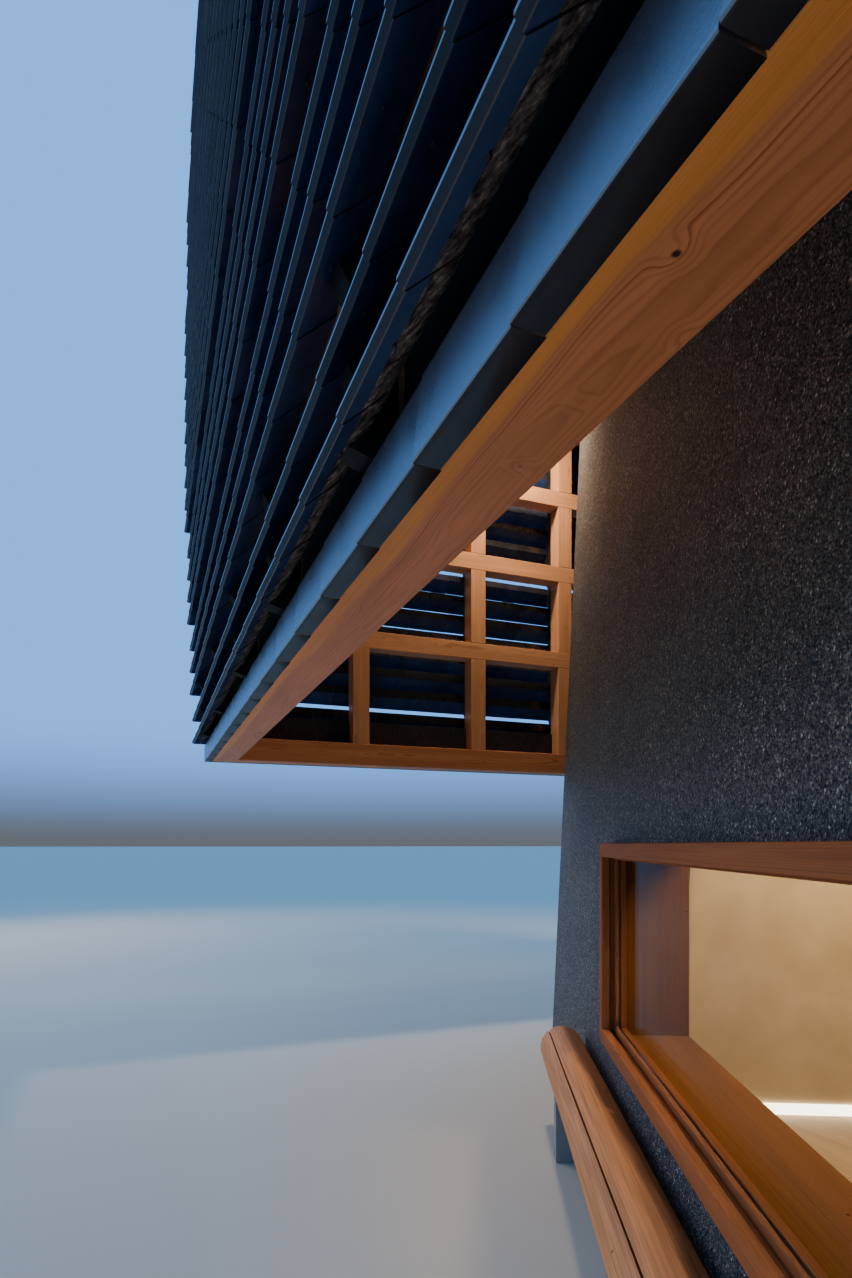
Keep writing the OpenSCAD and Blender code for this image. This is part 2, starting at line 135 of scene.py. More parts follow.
# Camera: at eye height beside the wall, looking along the front to its left end
camera_data = bpy.data.cameras.new("camera")
camera_data.sensor_width = 36
camera_data.lens = 20.25
camera_data.shift_y = 0.161
camera_data.clip_start = 0.02
camera_data.clip_end = 1500
camera = bpy.data.objects.new("camera", camera_data)
camera.location = (0.385, -4.137, 1.45)
camera.rotation_euler = (math.radians(90), 0, math.radians(68.76))
scene.collection.objects.link(camera)
scene.camera = camera


# Colours and materials
def linear(shade):
    """An sRGB hex colour as linear values."""
    parts = [int(shade[k:k + 2], 16) / 255 for k in (1, 3, 5)]
    return [c / 12.92 if c <= 0.04045 else ((c + 0.055) / 1.055) ** 2.4 for c in parts] + [1.0]


def per(millimetres):
    """The texture scale whose features are this far apart."""
    return 1000 / millimetres


def add_node(tree, kind, values=(), stops=(), **settings):
    """Adds a node with its settings, its values and links, and the stops of its ramp."""
    made = tree.nodes.new("ShaderNode" + kind)
    for name, setting in settings.items():
        setattr(made, name, setting)
    for name, value in dict(values).items():
        if isinstance(value, bpy.types.NodeSocket):
            tree.links.new(value, made.inputs[name])
        else:
            made.inputs[name].default_value = value
    for k, (at, shade) in enumerate(stops):
        elements = made.color_ramp.elements
        ends = {0: 0, len(stops) - 1: -1}
        element = elements[ends[k]] if k in ends else elements.new(at)
        element.position = at
        element.color = linear(shade)
    return made


def new_material(name):
    """An empty material and its node tree."""
    material = bpy.data.materials.new(name)
    material.use_nodes = True
    material.node_tree.nodes.clear()
    return material, material.node_tree


def close_material(tree, height, depth, shader):
    """The bump of the surface, in metres of depth, then the shader and the output."""
    bump = add_node(tree, "Bump", {"Height": height, "Distance": depth, "Strength": 1.0})
    made = add_node(tree, "BsdfPrincipled", {**shader, "Normal": bump.outputs["Normal"]})
    add_node(tree, "OutputMaterial", {"Surface": made.outputs["BSDF"]})


def timber_finish(
    name, early, late, sapwood, ring, sap_from, rough, object_grain=None, wave=0.045, streak=0.2
):
    """Planed and oiled softwood. Rings lie round each timber's own pith, with fine fibres
    along it, darker streaks, a few knots, and paler sapwood far from the pith."""
    material, tree = new_material(name)
    if object_grain is None:
        grain = add_node(tree, "Attribute", attribute_name="grain").outputs["Vector"]
    else:
        place = add_node(tree, "TexCoord").outputs["Object"]
        grain = add_node(
            tree, "Mapping", {"Vector": place, "Rotation": object_grain, "Location": (0, 0.07, 0.09)}
        ).outputs["Vector"]
    # Knots: one feature point in each stretched cell, measured in true millimetres
    stretch = (3.6, 12.0, 12.0)
    cells = add_node(tree, "VectorMath", {0: grain, 1: stretch}, operation="MULTIPLY")
    branch = add_node(tree, "TexVoronoi", {"Vector": cells.outputs[0], "Scale": 1.0})
    centre = add_node(
        tree, "VectorMath", {0: branch.outputs["Position"], 1: stretch}, operation="DIVIDE"
    )
    from_knot = add_node(
        tree, "VectorMath", {0: grain, 1: centre.outputs[0]}, operation="DISTANCE"
    ).outputs["Value"]
    swirl = add_node(
        tree, "MapRange",
        {"Value": from_knot, "From Min": 0.003, "From Max": 0.035, "To Min": 0.008, "To Max": 0.0},
        interpolation_type="SMOOTHSTEP",
    ).outputs["Result"]
    knot = add_node(
        tree, "MapRange",
        {"Value": from_knot, "From Min": 0.003, "From Max": 0.006, "To Min": 1.0, "To Max": 0.0},
    ).outputs["Result"]
    # Rings, bent by slow waves along the trunk
    slow = add_node(tree, "VectorMath", {0: grain, 1: (1.3, 6.0, 6.0)}, operation="MULTIPLY")
    sway = add_node(tree, "TexNoise", {"Vector": slow.outputs[0], "Scale": 1.0, "Detail": 3.0})
    bend = add_node(
        tree, "VectorMath", {0: sway.outputs["Color"], 1: (0.5, 0.5, 0.5)}, operation="SUBTRACT"
    )
    bend = add_node(
        tree, "VectorMath", {0: bend.outputs[0], 1: (0.0, wave, wave), 2: grain},
        operation="MULTIPLY_ADD",
    )
    flat = add_node(tree, "VectorMath", {0: bend.outputs[0], 1: (0.0, 1.0, 1.0)}, operation="MULTIPLY")
    radius = add_node(tree, "VectorMath", {0: flat.outputs[0]}, operation="LENGTH").outputs["Value"]
    swept = add_node(tree, "Math", {0: radius, 1: swirl}, operation="ADD").outputs[0]
    turns = add_node(tree, "Math", {0: swept, 1: ring / 1000}, operation="DIVIDE").outputs[0]
    phase = add_node(tree, "Math", {0: turns}, operation="FRACT").outputs[0]
    # Some years are darker than others
    year = add_node(tree, "Math", {0: turns}, operation="FLOOR").outputs[0]
    strong = add_node(tree, "TexWhiteNoise", {"W": year}, noise_dimensions="1D").outputs["Value"]
    band = add_node(
        tree, "ValToRGB", {"Fac": phase},
        stops=[(0.0, "#000000"), (0.45, "#000000"), (0.88, "#ffffff"), (1.0, "#000000")],
    ).outputs["Color"]
    strength = add_node(tree, "Math", {0: strong, 1: strong}, operation="MULTIPLY").outputs[0]
    strength = add_node(tree, "Math", {0: strength, 1: 0.90, 2: 0.25}, operation="MULTIPLY_ADD").outputs[0]
    lateness = add_node(tree, "Math", {0: band, 1: strength}, operation="MULTIPLY").outputs[0]
    rings = add_node(
        tree, "Mix", {"Factor": lateness, "A": linear(early), "B": linear(late)}, data_type="RGBA"
    ).outputs["Result"]
    pale = add_node(
        tree, "MapRange",
        {"Value": swept, "From Min": sap_from / 1000, "From Max": sap_from / 1000 + 0.006},
    ).outputs["Result"]
    sap = add_node(
        tree, "Mix", {"Factor": 0.8, "A": rings, "B": linear(sapwood)}, data_type="RGBA"
    ).outputs["Result"]
    wood = add_node(tree, "Mix", {"Factor": pale, "A": rings, "B": sap}, data_type="RGBA").outputs["Result"]
    # Fibres a millimetre apart and 400 mm long, and slow changes of shade
    thin = add_node(
        tree, "VectorMath", {0: grain, 1: (per(400), per(1.8), per(1.8))}, operation="MULTIPLY"
    )
    fibre = add_node(
        tree, "TexNoise", {"Vector": thin.outputs[0], "Scale": 1.0, "Detail": 2.0}
    ).outputs["Fac"]
    broad = add_node(
        tree, "VectorMath", {0: grain, 1: (per(700), per(60), per(60))}, operation="MULTIPLY"
    )
    drift = add_node(
        tree, "TexNoise", {"Vector": broad.outputs[0], "Scale": 1.0, "Detail": 3.0}
    ).outputs["Fac"]
    lines = add_node(
        tree, "VectorMath", {0: grain, 1: (per(420), per(7), per(7))}, operation="MULTIPLY"
    )
    streaks = add_node(
        tree, "TexNoise", {"Vector": lines.outputs[0], "Scale": 1.0, "Detail": 3.0}
    ).outputs["Fac"]
    shade = add_node(
        tree, "Math", {0: fibre, 1: 0.36, 2: 0.465 - streak / 2}, operation="MULTIPLY_ADD"
    ).outputs[0]
    shade = add_node(tree, "Math", {0: streaks, 1: streak, 2: shade}, operation="MULTIPLY_ADD").outputs[0]
    shade = add_node(tree, "Math", {0: drift, 1: 0.70, 2: shade}, operation="MULTIPLY_ADD").outputs[0]
    toned = add_node(tree, "VectorMath", {0: wood, "Scale": shade}, operation="SCALE").outputs[0]
    knotted = add_node(
        tree, "Mix", {"Factor": knot, "A": toned, "B": linear("#2e1408")}, data_type="RGBA"
    ).outputs["Result"]
    dull = add_node(
        tree, "MapRange", {"Value": fibre, "To Min": rough + 0.10, "To Max": rough - 0.06}
    ).outputs["Result"]
    close_material(
        tree, fibre, 0.00015,
        {"Base Color": knotted, "Roughness": dull, "IOR": 1.35, "Specular IOR Level": 0.3},
    )
    return material


def smoked_clay_tile(name, dark, light, rough, ior):
    """Clay tiles fired in smoke: nearly black, with a satin sheen from the carbon in their
    skin, a little cloudy, each of its own shade, and rough grey where bare."""
    material, tree = new_material(name)
    place = add_node(tree, "TexCoord").outputs["Object"]
    own = add_node(tree, "Attribute", attribute_name="shade").outputs["Fac"]
    bare = add_node(tree, "Attribute", attribute_name="bare").outputs["Fac"]
    cloud = add_node(
        tree, "TexNoise", {"Vector": place, "Scale": per(140), "Detail": 4.0, "Roughness": 0.6}
    ).outputs["Fac"]
    grit = add_node(tree, "TexNoise", {"Vector": place, "Scale": per(2.5), "Detail": 2.0}).outputs["Fac"]
    mottle = add_node(
        tree, "TexNoise", {"Vector": place, "Scale": per(22), "Detail": 6.0, "Roughness": 0.7}
    ).outputs["Fac"]
    tone = add_node(tree, "Math", {0: own, 1: 0.4, 2: cloud}, operation="MULTIPLY_ADD").outputs[0]
    smoked = add_node(
        tree, "ValToRGB", {"Fac": tone}, stops=[(0.38, dark), (1.0, light)]
    ).outputs["Color"]
    raw = add_node(
        tree, "ValToRGB", {"Fac": mottle},
        stops=[(0.40, "#262628"), (0.55, "#58585a"), (0.66, "#919190")],
    ).outputs["Color"]
    body = add_node(
        tree, "Mix", {"Factor": bare, "A": smoked, "B": raw}, data_type="RGBA"
    ).outputs["Result"]
    sheen = add_node(
        tree, "MapRange",
        {"Value": cloud, "From Min": 0.3, "From Max": 0.7, "To Min": rough - 0.03, "To Max": rough + 0.05},
    ).outputs["Result"]
    dull = add_node(tree, "Math", {0: bare, 1: 0.45, 2: sheen}, operation="MULTIPLY_ADD").outputs[0]
    relief = add_node(tree, "Math", {0: bare, 1: mottle, 2: grit}, operation="MULTIPLY_ADD").outputs[0]
    close_material(tree, relief, 0.00012, {"Base Color": body, "Roughness": dull, "IOR": ior})
    return material


def washed_gravel():
    """Wall render of fine gravel with its cement washed off: dark grains 4 to 8 mm across
    that stand proud, a few pale ones, and sandy cement between them."""
    material, tree = new_material("washed gravel render")
    place = add_node(tree, "TexCoord").outputs["Object"]
    wobble = add_node(tree, "TexNoise", {"Vector": place, "Scale": per(14), "Detail": 2.0}).outputs["Color"]
    bent = add_node(
        tree, "VectorMath", {0: wobble, 1: (0.004, 0.004, 0.004), 2: place}, operation="MULTIPLY_ADD"
    ).outputs[0]
    grain = add_node(tree, "TexVoronoi", {"Vector": bent, "Scale": per(7.0), "Randomness": 1.0})
    small = add_node(tree, "TexVoronoi", {"Vector": place, "Scale": per(3.2), "Randomness": 1.0})
    pick = add_node(tree, "SeparateColor", {"Color": grain.outputs["Color"]})
    pick_small = add_node(tree, "SeparateColor", {"Color": small.outputs["Color"]})
    stone = add_node(
        tree, "ValToRGB", {"Fac": pick.outputs["Red"]},
        stops=[
            (0.0, "#1a1817"), (0.35, "#2f2b28"), (0.66, "#453f39"),
            (0.85, "#676056"), (0.95, "#8f8779"), (1.0, "#c0b9aa"),
        ],
    ).outputs["Color"]
    sand = add_node(
        tree, "ValToRGB", {"Fac": pick_small.outputs["Red"]},
        stops=[(0.0, "#2a2724"), (0.6, "#48423a"), (1.0, "#7c7466")],
    ).outputs["Color"]
    edge = add_node(
        tree, "MapRange", {"Value": grain.outputs["Distance"], "From Min": 0.42, "From Max": 0.60}
    ).outputs["Result"]
    mixed = add_node(tree, "Mix", {"Factor": edge, "A": stone, "B": sand}, data_type="RGBA").outputs["Result"]
    weather = add_node(
        tree, "TexNoise", {"Vector": place, "Scale": per(420), "Detail": 6.0, "Roughness": 0.6}
    ).outputs["Fac"]
    tone = add_node(
        tree, "MapRange",
        {"Value": weather, "From Min": 0.3, "From Max": 0.7, "To Min": 0.78, "To Max": 1.15},
    ).outputs["Result"]
    clumps = add_node(tree, "TexNoise", {"Vector": place, "Scale": per(20), "Detail": 3.0}).outputs["Fac"]
    clumps = add_node(
        tree, "MapRange",
        {"Value": clumps, "From Min": 0.35, "From Max": 0.65, "To Min": 0.58, "To Max": 1.42},
    ).outputs["Result"]
    tone = add_node(tree, "Math", {0: tone, 1: clumps}, operation="MULTIPLY").outputs[0]
    body = add_node(tree, "VectorMath", {0: mixed, "Scale": tone}, operation="SCALE").outputs[0]
    dome = add_node(
        tree, "MapRange",
        {"Value": grain.outputs["Distance"], "From Min": 0.1, "From Max": 0.62, "To Min": 1.0, "To Max": 0.0},
    ).outputs["Result"]
    dust = add_node(
        tree, "Math", {0: small.outputs["Distance"], 1: -0.4, 2: dome}, operation="MULTIPLY_ADD"
    ).outputs[0]
    dull = add_node(
        tree, "MapRange", {"Value": pick.outputs["Green"], "To Min": 0.45, "To Max": 0.85}
    ).outputs["Result"]
    close_material(tree, dust, 0.0040, {"Base Color": body, "Roughness": dull, "IOR": 1.5})
    return material


def earth_plaster():
    """Smooth earth plaster: warm beige, trowelled, with fine sand in it."""
    material, tree = new_material("earth plaster")
    place = add_node(tree, "TexCoord").outputs["Object"]
    sweep = add_node(tree, "TexNoise", {"Vector": place, "Scale": per(260), "Detail": 4.0}).outputs["Fac"]
    sand = add_node(tree, "TexNoise", {"Vector": place, "Scale": per(3), "Detail": 3.0}).outputs["Fac"]
    body = add_node(
        tree, "ValToRGB", {"Fac": sweep}, stops=[(0.3, "#b49c74"), (0.7, "#c6ae88")]
    ).outputs["Color"]
    close_material(tree, sand, 0.0002, {"Base Color": body, "Roughness": 0.85})
    return material


def cast_concrete():
    """Plain cast concrete: pale grey, matt, with small pores and clouds."""
    material, tree = new_material("cast concrete")
    place = add_node(tree, "TexCoord").outputs["Object"]
    cloud = add_node(tree, "TexNoise", {"Vector": place, "Scale": per(180), "Detail": 6.0}).outputs["Fac"]
    pores = add_node(tree, "TexNoise", {"Vector": place, "Scale": per(5), "Detail": 3.0}).outputs["Fac"]
    body = add_node(
        tree, "ValToRGB", {"Fac": cloud}, stops=[(0.3, "#6a6761"), (0.7, "#8b8881")]
    ).outputs["Color"]
    close_material(tree, pores, 0.001, {"Base Color": body, "Roughness": 0.9})
    return material


def stained_and_shaded_board():
    """Rough sawn board with a black stain: nearly black, dull, with sawn fibres. On the sill boards behind
    the lowest panels the near black is painted shade.
    """
    material, tree = new_material("black stained board")
    place = add_node(tree, "TexCoord").outputs["Object"]
    fibres = add_node(
        tree, "VectorMath", {0: place, 1: (per(2.5), per(2.5), per(60))}, operation="MULTIPLY"
    ).outputs[0]
    saw = add_node(tree, "TexNoise", {"Vector": fibres, "Scale": 1.0, "Detail": 3.0}).outputs["Fac"]
    body = add_node(
        tree, "ValToRGB", {"Fac": saw}, stops=[(0.3, "#0e0e0f"), (0.62, "#222222"), (0.75, "#55524d")]
    ).outputs["Color"]
    close_material(tree, saw, 0.0008, {"Base Color": body, "Roughness": 0.8})
    return material


def clear_glass():
    """Clear float glass with a faint green-grey cast and a bare reflection."""
    material, tree = new_material("clear float glass")
    glass = add_node(
        tree, "BsdfPrincipled",
        {"Base Color": linear("#f2f7f5"), "Roughness": 0.0, "IOR": 1.04, "Transmission Weight": 1.0},
    )
    add_node(tree, "OutputMaterial", {"Surface": glass.outputs["BSDF"]})
    return material


def lit_cover():
    """Opal cover of a lit strip at the foot of the inner wall."""
    material, tree = new_material("opal light cover")
    cover = add_node(
        tree, "BsdfPrincipled",
        {"Base Color": linear("#fff6e6"), "Roughness": 0.4,
         "Emission Color": linear("#fff4de"), "Emission Strength": 6.0},
    )
    add_node(tree, "OutputMaterial", {"Surface": cover.outputs["BSDF"]})
    return material


# Each timber: its early and late wood, its sapwood, the width of a ring and the distance of
# the sapwood from the pith in millimetres, and its roughness
CEDAR = timber_finish("oiled cedar", "#aa6c44", "#723b20", "#be7c36", 4.0, 109, 0.50)
LATTICE_CEDAR = timber_finish(
    "oiled cedar of the lattice", "#ae7850", "#84502f", "#ae7850", 4.0, 400, 0.50
)
CEDAR_INNER = timber_finish(
    "dark cedar of the upper storey", "#7c5238", "#54321f", "#7a5236", 7.0, 400, 0.5, (0, 0, math.pi / 2)
)
WINDOW_TIMBER = timber_finish(
    "stained window timber", "#8a5028", "#66381c", "#8a5028", 4.0, 900, 0.7, wave=0.012, streak=0.4
)
LINING_TIMBER = timber_finish(
    "stained lining board", "#74481f", "#5c3818", "#74481f", 4.0, 900, 0.75, wave=0.012, streak=0.4
)
LOG_WOOD = timber_finish(
    "debarked log", "#b47848", "#6e4a2c", "#b47848", 30.0, 300, 0.6, wave=0.02, streak=1.4
)
CLAY = smoked_clay_tile("smoked clay tile", "#1c1c20", "#302f34", 0.27, 1.7)
FASCIA_CLAY = smoked_clay_tile("smoked clay fascia tile", "#2a272c", "#423e43", 0.28, 2.7)
# A darker, duller copy for faces that face down: its darker colour is painted shade, its roughness a duller
# cut finish
DULL_SHADED_CLAY = smoked_clay_tile("dull clay of cut ends with painted shade", "#18181b", "#28282d", 0.5, 1.3)
# The undersides' copy is blue: painted light of the blue sky on the tiles' undersides
SKY_PAINTED_UNDER_CLAY = smoked_clay_tile("clay undersides with painted sky light", "#1c2a48", "#344a74", 0.5, 1.1)
ROOF_CLAY = smoked_clay_tile("smoked clay roof tile", "#2b2e33", "#565a62", 0.4, 1.5)
GRAVEL = washed_gravel()
PLASTER = earth_plaster()
CONCRETE = cast_concrete()
STAINED_AND_SHADED = stained_and_shaded_board()
GLASS = clear_glass()
LIT = lit_cover()
BOARDS = timber_finish(
    "oiled floor boards", "#a48a68", "#847056", "#a48a68", 5.0, 400, 0.5, (0, 0, 0)
)


# Making pieces
def settle(bm, name, material, stands_for=(), place=None, crease=30, others=()):
    """Makes the finished mesh a piece of the house, at its place in the frame. Edges that
    turn by less than the crease are smooth; without a crease they stay as they are. Other
    finishes go to the faces whose normal passes their test."""
    bmesh.ops.recalc_face_normals(bm, faces=bm.faces)
    for face in bm.faces:
        face.smooth = True
        for number, (finish, test) in enumerate(others, 1):
            if test(face.normal):
                face.material_index = number
    if place is not None:
        bmesh.ops.transform(bm, matrix=place, verts=bm.verts)
    if crease:
        for edge in bm.edges:
            edge.smooth = edge.calc_face_angle(math.pi) < math.radians(crease)
    mesh = bpy.data.meshes.new(name)
    bm.to_mesh(mesh)
    bm.free()
    for finish in [material] + [finish for finish, test in others]:
        mesh.materials.append(finish)
    made = bpy.data.objects.new(name, mesh)
    scene.collection.objects.link(made)
    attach(made, "root")
    if stands_for:
        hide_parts(*stands_for)


def give_tone(verts, shade, tone):
    """Gives all of one tile the same shade."""
    for vert in verts:
        vert[shade] = tone


def drawn_section(bm, points, start, end):
    """Draws a section of distances out and heights along X. Returns its vertices."""
    outline = [bm.verts.new((start, -out, up)) for out, up in points]
    cap = bm.faces.new(outline)
    pulled = bmesh.ops.extrude_face_region(bm, geom=[cap])
    far = [item for item in pulled["geom"] if isinstance(item, bmesh.types.BMVert)]
    bmesh.ops.translate(bm, vec=(end - start, 0, 0), verts=far)
    return outline + far


def cut_off(bm, point, outwards):
    """Cuts everything off beyond a plane and closes the cut ends."""
    cut = bmesh.ops.bisect_plane(
        bm, geom=bm.verts[:] + bm.edges[:] + bm.faces[:], dist=1e-6,
        plane_co=point, plane_no=outwards, clear_outer=True,
    )
    rims = [item for item in cut["geom_cut"] if isinstance(item, bmesh.types.BMEdge)]
    if rims:
        bmesh.ops.edgeloop_fill(bm, edges=rims)


def cut_mitres(bm, run):
    """Cuts everything at the two mitres of a side."""
    for turn in (-1, 1):
        cut_off(bm, (turn * run / 2, 0, 0), Vector((turn, 1, 0)).normalized())


def mark_grain(bm, verts, run, pith):
    """Gives a timber its grain: first the place along it, then the two from its pith."""
    layer = bm.verts.layers.float_vector["grain"]
    along = chance.uniform(0, 40)
    second, third = [axis for axis in range(3) if axis != run]
    for vert in verts:
        vert[layer] = (
            vert.co[run] + along, vert.co[second] - pith[0], vert.co[third] - pith[1]
        )


def add_timber(bm, low, high, run, pith=None, eased=EASED, heart=(0.02, 0.08)):
    """One planed timber between two corners, its grain along axis run. Its pith is given,
    or lies somewhere between the two distances of heart from its middle."""
    low, high = Vector(low), Vector(high)
    verts = bmesh.ops.create_cube(bm, size=1.0)["verts"]
    bmesh.ops.scale(bm, vec=high - low, verts=verts)
    bmesh.ops.translate(bm, vec=(low + high) / 2, verts=verts)
    edges = list(dict.fromkeys(edge for vert in verts for edge in vert.link_edges))
    eased_verts = bmesh.ops.bevel(
        bm, geom=edges, affect="EDGES", offset=eased, segments=1, profile=0.5, material=-1
    )["verts"]
    if pith is None:
        middle = [m for axis, m in enumerate((low + high) / 2) if axis != run]
        pith = [m + chance.uniform(*heart) * chance.choice((-1, 1)) for m in middle]
    mark_grain(bm, eased_verts, run, pith)


def cut_away(bm, cutter):
    """What is left of one closed form when another is cut from it."""
    blanks = []
    for form in (bm, cutter):
        bmesh.ops.recalc_face_normals(form, faces=form.faces)
        mesh = bpy.data.meshes.new("blank")
        form.to_mesh(mesh)
        form.free()
        blanks.append(bpy.data.objects.new("blank", mesh))
        scene.collection.objects.link(blanks[-1])
    cut = blanks[0].modifiers.new("cut", "BOOLEAN")
    cut.operation = "DIFFERENCE"
    cut.object = blanks[1]
    cut.solver = "EXACT"
    graph = bpy.context.evaluated_depsgraph_get()
    left = bpy.data.meshes.new_from_object(blanks[0].evaluated_get(graph))
    made = bmesh.new()
    made.from_mesh(left)
    bpy.data.meshes.remove(left)
    for blank in blanks:
        bpy.data.meshes.remove(blank.data)
    return made


def timber_bmesh():
    """An empty form whose timbers carry their grain."""
    bm = bmesh.new()
    bm.verts.layers.float_vector.new("grain")
    return bm


def round_arrises(bm, edges, radius, segments):
    """Rounds arrises: smooth along the rounding, with the flat faces beside it left flat."""
    for edge in edges:
        for vert in edge.verts:
            for near in vert.link_edges:
                near.smooth = False
    rounded = bmesh.ops.bevel(
        bm, geom=edges, affect="EDGES", offset=radius, segments=segments, profile=0.5, material=-1
    )["faces"]
    for face in rounded:
        for edge in face.edges:
            edge.smooth = segments > 1 and all(near in rounded for near in edge.link_faces)


# Louvre tiles
def louvre_tile(head, bareness):
    """One clay tile: a square-cut blade that rises inwards to an upstand, its nose
    taken off, bare clay along the back of its underside, and a screw through it."""
    rise = math.tan(TILE_SLOPE)
    cut_in = TILE_THICK * math.sin(TILE_SLOPE)
    cut_down = TILE_THICK * math.cos(TILE_SLOPE)
    head_in = TILE_DEPTH - TILE_THICK
    head_top = head_in * rise + head
    back = (TILE_DEPTH - cut_in) * rise - cut_down
    bare = (BARE_FROM - cut_in) * rise - cut_down
    section = [
        (0, 0), (-head_in, head_in * rise), (-head_in, head_top), (-TILE_DEPTH, head_top),
        (-TILE_DEPTH, back), (-BARE_FROM, bare), (-cut_in, -cut_down),
    ]
    bm = bmesh.new()
    bare_clay = bm.faces.layers.float.new("bare")
    length = TILE_LENGTH - TILE_JOINT
    drawn_section(bm, section, -length / 2, length / 2)
    for edge in bm.edges:
        edge.smooth = False
    long = [edge for edge in bm.edges if abs(edge.verts[0].co.x - edge.verts[1].co.x) > length / 2]
    nose = [edge for edge in long if abs(edge.verts[0].co.y) < 1e-6]
    under = [edge for edge in long if edge.verts[0].co.z < -0.005 and edge.verts[0].co.y < 0.02]
    round_arrises(bm, nose, NOSE_ROUND, 1)
    round_arrises(bm, under, UNDER_ROUND, 2)
    bmesh.ops.recalc_face_normals(bm, faces=bm.faces)
    for face in bm.faces:
        middle = face.calc_center_median()
        if middle.y > BARE_FROM and face.normal.z < -0.1 and abs(face.normal.x) < 0.5:
            face[bare_clay] = bareness
    screw = bmesh.ops.create_cone(
        bm, cap_ends=True, segments=8, radius1=0.0055, radius2=0.0040, depth=0.005
    )["verts"]
    turn = Matrix.Rotation(math.pi - TILE_SLOPE, 4, "X")
    inwards = BARE_FROM - SCREW_BACK
    seat = Matrix.Translation((0.02, inwards, (inwards - cut_in) * rise - cut_down))
    bmesh.ops.transform(bm, matrix=seat @ turn, verts=screw)
    return bm


def packed_rows():
    """Distance out from the post line and height of each tile row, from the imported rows."""
    points = sorted({
        (round(vert.co.z, 4), round(-vert.co.y - SIDE_RUN / 2, 4))
        for vert in nodes["tile_rows_front"].data.vertices
    })
    return [(out, height) for height, out in points[1::6]]


def as_blank(tile):
    """A finished tile as a mesh, ready to be laid many times."""
    blank = bpy.data.meshes.new("tile blank")
    tile.to_mesh(blank)
    tile.free()
    return blank


def lay_blank(row, blank, place):
    """Lays one more copy of a blank tile. Returns its vertices."""
    first = len(row.verts)
    row.from_mesh(blank)
    row.verts.ensure_lookup_table()
    verts = row.verts[first:]
    bmesh.ops.transform(row, matrix=place, verts=verts)
    return verts


def join_to(whole, part):
    """Adds a finished part, such as a row, to the whole."""
    laid = as_blank(part)
    whole.from_mesh(laid)
    bpy.data.meshes.remove(laid)


def louvre_rows(side, rows):
    """All the tiles of one side: rows in running bond, cut at the corners' mitres."""
    blanks = [
        as_blank(louvre_tile(LOW_TILE_HEAD, 1.0)), as_blank(louvre_tile(LOW_TILE_HEAD, 0.12)),
        as_blank(louvre_tile(TILE_HEAD, 0.12)),
    ]
    screen = bmesh.new()
    screen.verts.layers.float.new("shade")
    screen.faces.layers.float.new("bare")
    for number, (out, height) in enumerate(rows):
        reach = run_of(side) / 2 + out
        count = math.ceil(2 * reach / TILE_LENGTH) + 2
        start = -count * TILE_LENGTH / 2 + (number % 2) * TILE_LENGTH / 2
        row = bmesh.new()
        shade = row.verts.layers.float.new("shade")
        blank = blanks[0 if number == 0 else 1 if number < LOW_ROWS else 2]
        for k in range(count):
            turn = TILE_LAP / TILE_LENGTH + chance.uniform(-0.002, 0.002)
            lift = height + chance.uniform(0, 0.0012)
            place = Matrix.Translation((start + k * TILE_LENGTH, -out + 0.003, lift))
            verts = lay_blank(row, blank, place @ Matrix.Rotation(turn, 4, "Z"))
            give_tone(verts, shade, chance.random())
        cut_mitres(row, run_of(side))
        join_to(screen, row)
    for blank in blanks:
        bpy.data.meshes.remove(blank)
    name = SIDES[side]
    dull = [
        # Faces down and outwards, the noses' cut faces: the darker copy, painted shade
        (DULL_SHADED_CLAY, lambda normal: normal.z < -0.5 and normal.y < -0.5),
        # Faces down and inwards, the undersides: the blue copy, painted sky light
        (SKY_PAINTED_UNDER_CLAY, lambda normal: normal.z < -0.5 and normal.y > 0.5),
    ]
    settle(
        screen, "louvre_tiles_" + name, CLAY, ["tile_rows_" + name], side_place(side),
        crease=None, others=dull,
    )


def fascia_tiles(side):
    """L-shaped fascia tiles with slanted joints, each lapped a little over the next."""
    low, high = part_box("fascia_front")
    out = -low.y - SIDE_RUN / 2
    back = BEAM_OUT
    top = high.z - low.z
    section = [
        (back, 0), (out, 0), (out, top), (out - TILE_THICK, top),
        (out - TILE_THICK, TILE_THICK), (back, TILE_THICK),
    ]
    bm = bmesh.new()
    shade = bm.verts.layers.float.new("shade")
    bends = []
    reach = run_of(side) / 2 + out
    count = math.ceil(2 * reach / TILE_LENGTH) + 1
    for k in range(count):
        start = -count * TILE_LENGTH / 2 + k * TILE_LENGTH
        verts = drawn_section(bm, section, start, start + TILE_LENGTH - FASCIA_JOINT)
        corners = [
            edge for vert in verts for edge in vert.link_edges
            if abs(edge.verts[0].co.x - edge.verts[1].co.x) > TILE_LENGTH / 2
            and edge.verts[0].co.y < -out + 1e-4
        ]
        give_tone(verts, shade, chance.random())
        for vert in verts:
            part = (vert.co.x - start) / TILE_LENGTH
            vert.co.y += TILE_LAP * part
            vert.co.x += FASCIA_SLANT * vert.co.z / top
        bends += list(dict.fromkeys(corners))
    round_arrises(bm, bends, FASCIA_ROUND, 3)
    bmesh.ops.translate(bm, vec=(0, 0, EAVE_Z), verts=bm.verts)
    cut_mitres(bm, run_of(side))
    name = SIDES[side]
    # The fascia's downward faces get the darker copy: painted shade
    settle(
        bm, "fascia_tiles_" + name, FASCIA_CLAY, ["fascia_" + name], side_place(side),
        crease=None, others=[(DULL_SHADED_CLAY, lambda normal: normal.z < -0.9)],
    )


# Timbers
def eave_beam(side):
    """One mitred eave beam, with sapwood along its outer lower arris."""
    bm = timber_bmesh()
    half = run_of(side) / 2 + BEAM
    pith = (BEAM_PITH[0], EAVE_Z + BEAM_PITH[1])
    add_timber(bm, (-half, -BEAM_OUT, EAVE_Z), (half, BEAM_IN, EAVE_Z + BEAM), 0, pith, EASED_MORE)
    cut_mitres(bm, run_of(side))
    name = SIDES[side]
    settle(
        bm, "eave_beam_timber_" + name, CEDAR, ["eave_beam_" + name], side_place(side), crease=20
    )


